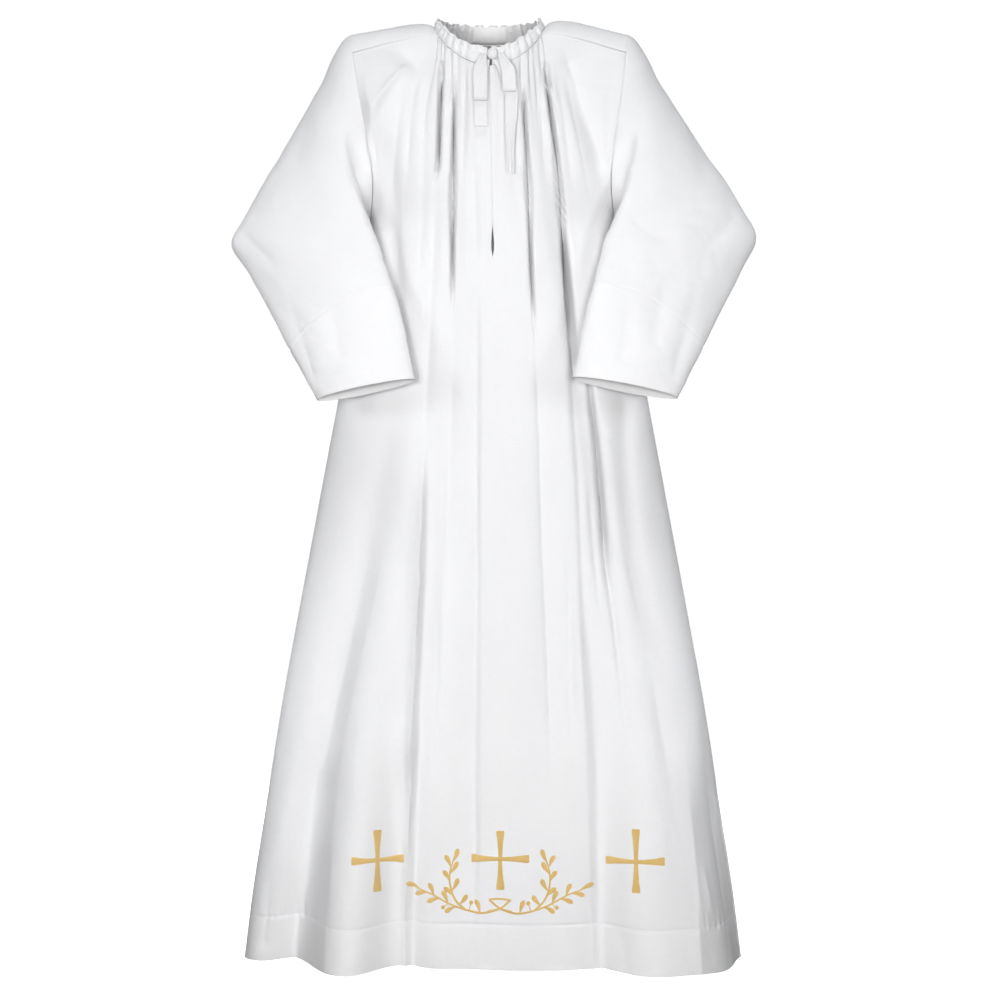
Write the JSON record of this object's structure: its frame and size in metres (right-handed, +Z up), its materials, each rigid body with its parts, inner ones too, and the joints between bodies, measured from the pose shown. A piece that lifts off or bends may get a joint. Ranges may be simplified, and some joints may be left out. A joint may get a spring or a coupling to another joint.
{
  "type": "alb robe",
  "caption": "Long loose church robe of white cloth with gathered neckband, front slit, narrow tied tape and wide bent sleeves, hollow and filled out.",
  "frame": {"origin": "level with the top of the shoulders, over the middle of the hem, midway between front and back: where the wearer's shoulders hold the robe", "axes": "+Z up, -Y out of the front, +X to the wearer's left"},
  "size_m": [0.8008, 0.3261, 1.4485],
  "materials": {
    "white_cloth": "matt plain weave",
    "tape_cloth": "matt twill tape",
    "label_cloth": "smooth woven label, blank"
  },
  "bodies": {
    "root": {"body_front": "white_cloth", "body_back": "white_cloth", "yoke_left": "white_cloth", "yoke_right": "white_cloth", "sleeve_left": "white_cloth", "sleeve_right": "white_cloth", "neckband": "white_cloth", "tie_knot": "tape_cloth", "tie_loop_left": "tape_cloth", "tie_loop_right": "tape_cloth", "tie_tail_left": "tape_cloth", "tie_tail_right": "tape_cloth", "neck_label": "label_cloth"}
  },
  "joints": []
}
